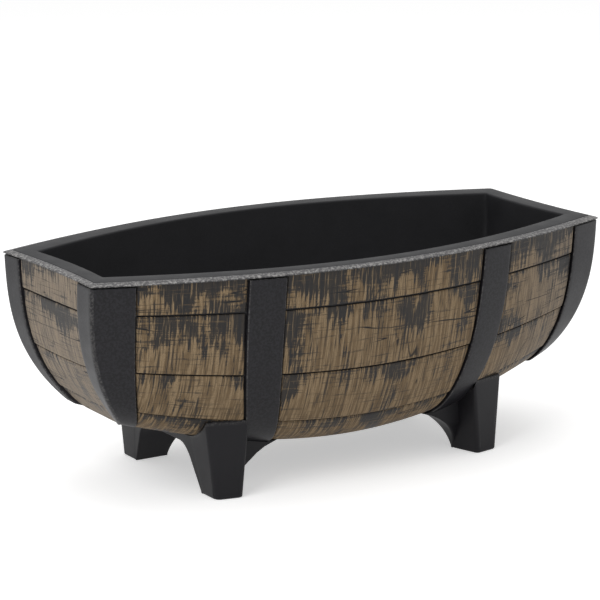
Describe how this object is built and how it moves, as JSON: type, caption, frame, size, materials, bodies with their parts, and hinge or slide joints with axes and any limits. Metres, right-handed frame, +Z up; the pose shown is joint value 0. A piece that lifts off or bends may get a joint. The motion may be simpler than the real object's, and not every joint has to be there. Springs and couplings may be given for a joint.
{
  "type": "half barrel planter",
  "caption": "Long trough planter shaped like a barrel cut in half lengthwise, with wood-look stave panels, flat bands, a lift-out liner and arched legs.",
  "frame": {"origin": "on the floor under the middle of the planter", "axes": "+X along the planter's length, -Y towards its front, +Z up"},
  "size_m": [0.65, 0.357, 0.254],
  "materials": {
    "painted_stave": "black resin moulded with a wood relief and dry-brushed brown",
    "black_band": "fine textured satin black",
    "black_leg": "fine textured satin black",
    "black_rim": "smooth satin black",
    "black_liner": "smooth satin black",
    "black_base": "plain moulded black",
    "zinc_screw": "zinc plated",
    "soft_plug": "soft moulded black"
  },
  "bodies": {
    "planter": {"front_stave_panel": "painted_stave", "back_stave_panel": "painted_stave", "left_end_panel": "painted_stave", "right_end_panel": "painted_stave", "front_left_corner_band": "black_band", "front_right_corner_band": "black_band", "back_left_corner_band": "black_band", "back_right_corner_band": "black_band", "left_hoop": "black_band", "right_hoop": "black_band", "rim_frame": "black_rim", "base_pan": "black_base", "left_leg_arch": "black_leg", "right_leg_arch": "black_leg", "left_arch_screws": "zinc_screw", "right_arch_screws": "zinc_screw"},
    "liner": {"liner_tub": "black_liner"},
    "left_plug": {"left_drain_plug": "soft_plug"},
    "right_plug": {"right_drain_plug": "soft_plug"}
  },
  "joints": [
    {"name": "liner_lift", "type": "slide", "parent": "planter", "child": "liner", "axis": [0, 0, 1], "range_m": [0, 0.26]},
    {"name": "left_plug_pull", "type": "slide", "parent": "liner", "child": "left_plug", "axis": [0, 0, -1], "range_m": [0, 0.03]},
    {"name": "right_plug_pull", "type": "slide", "parent": "liner", "child": "right_plug", "axis": [0, 0, -1], "range_m": [0, 0.03]}
  ]
}
